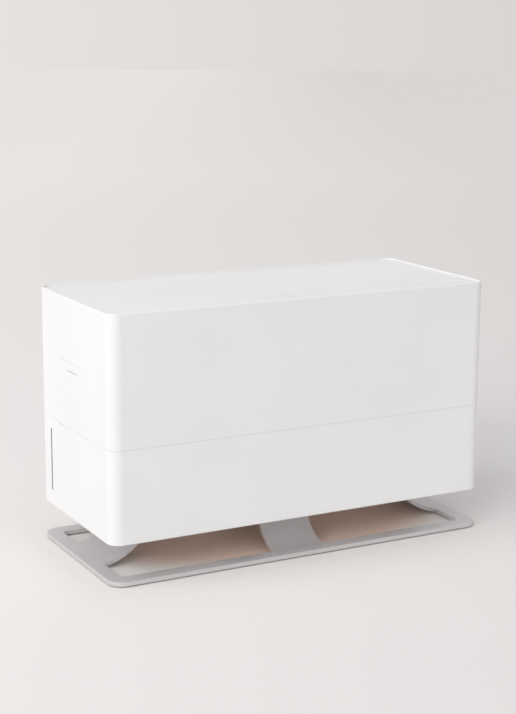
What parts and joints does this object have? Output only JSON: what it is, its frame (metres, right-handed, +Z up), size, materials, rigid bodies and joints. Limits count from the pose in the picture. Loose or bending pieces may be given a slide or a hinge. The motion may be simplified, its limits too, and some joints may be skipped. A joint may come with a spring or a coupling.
{
  "type": "cool mist humidifier",
  "caption": "Long white evaporative room humidifier on a bent metal stand, with a lift-off upper housing, water tank, wick cassettes, fans, aroma drawer and buttons.",
  "frame": {"origin": "on the floor, under the middle of the object", "axes": "+X along the body to the right seen from the front, -Y is the front, +Z up"},
  "size_m": [0.464, 0.2046, 0.29],
  "materials": {
    "body_white": "fine satin moulded white plastic",
    "stand_metal": "silver-grey satin coat on bent sheet metal",
    "foot_rubber": "matt",
    "screw_steel": "plated",
    "window_smoke": "smoke-grey translucent strip",
    "float_orange": "satin",
    "cassette_plastic": "satin",
    "wick_paper": "pleated absorbent paper fleece",
    "inner_grey": "satin",
    "fan_black": "satin",
    "motor_steel": "turned",
    "circuit_green": "solder-masked board",
    "pad_felt": "felt",
    "button_white": "gloss"
  },
  "bodies": {
    "base": {"stand": "stand_metal", "foot_pad_1": "foot_rubber", "foot_pad_2": "foot_rubber", "foot_pad_3": "foot_rubber", "foot_pad_4": "foot_rubber", "stand_screw_1": "screw_steel", "stand_screw_2": "screw_steel", "stand_screw_3": "screw_steel", "stand_screw_4": "screw_steel", "stand_screw_5": "screw_steel", "stand_screw_6": "screw_steel", "water_tank": "body_white", "level_window": "window_smoke", "float_cage": "cassette_plastic", "cassette_frame_left": "cassette_plastic", "cassette_frame_right": "cassette_plastic", "wick_pad_left": "wick_paper", "wick_pad_right": "wick_paper"},
    "float": {"level_float": "float_orange"},
    "housing": {"upper_housing": "body_white", "top_grille": "body_white", "rear_grille": "body_white", "fan_deck": "inner_grey", "deck_screw_1": "screw_steel", "deck_screw_2": "screw_steel", "deck_screw_3": "screw_steel", "deck_screw_4": "screw_steel", "fan_frame_left": "fan_black", "fan_motor_left": "motor_steel", "fan_frame_right": "fan_black", "fan_motor_right": "motor_steel", "fan_screw_left_1": "screw_steel", "fan_screw_left_2": "screw_steel", "fan_screw_right_1": "screw_steel", "fan_screw_right_2": "screw_steel", "drawer_guide": "inner_grey", "button_board": "circuit_green", "power_board": "circuit_green", "board_cover": "inner_grey", "humidity_sensor": "circuit_green", "power_inlet": "fan_black"},
    "rotor_left": {"fan_rotor_left": "fan_black", "motor_shaft_left": "motor_steel"},
    "rotor_right": {"fan_rotor_right": "fan_black", "motor_shaft_right": "motor_steel"},
    "drawer": {"aroma_drawer": "body_white", "aroma_pad": "pad_felt"},
    "button_1": {"button_1": "button_white"},
    "button_2": {"button_2": "button_white"},
    "button_3": {"button_3": "button_white"},
    "button_4": {"button_4": "button_white"}
  },
  "joints": [
    {"name": "housing_lift", "type": "slide", "parent": "base", "child": "housing", "axis": [0, 0, 1], "range_m": [0, 0.16]},
    {"name": "float_rise", "type": "slide", "parent": "base", "child": "float", "axis": [0, 0, 1], "range_m": [0, 0.066]},
    {"name": "rotor_left_spin", "type": "hinge", "parent": "housing", "child": "rotor_left", "pos_m": [-0.075, 0, 0.2109], "axis": [0, 0, 1], "continuous": true},
    {"name": "rotor_right_spin", "type": "hinge", "parent": "housing", "child": "rotor_right", "pos_m": [0.075, 0, 0.2109], "axis": [0, 0, 1], "continuous": true},
    {"name": "drawer_slide", "type": "slide", "parent": "housing", "child": "drawer", "axis": [-1, 0, 0], "range_m": [0, 0.055]},
    {"name": "button_1_press", "type": "slide", "parent": "housing", "child": "button_1", "axis": [0, 0, -1], "range_m": [0, 0.0008], "stiffness_N_per_m": 600},
    {"name": "button_2_press", "type": "slide", "parent": "housing", "child": "button_2", "axis": [0, 0, -1], "range_m": [0, 0.0008], "stiffness_N_per_m": 600},
    {"name": "button_3_press", "type": "slide", "parent": "housing", "child": "button_3", "axis": [0, 0, -1], "range_m": [0, 0.0008], "stiffness_N_per_m": 600},
    {"name": "button_4_press", "type": "slide", "parent": "housing", "child": "button_4", "axis": [0, 0, -1], "range_m": [0, 0.0008], "stiffness_N_per_m": 600}
  ]
}
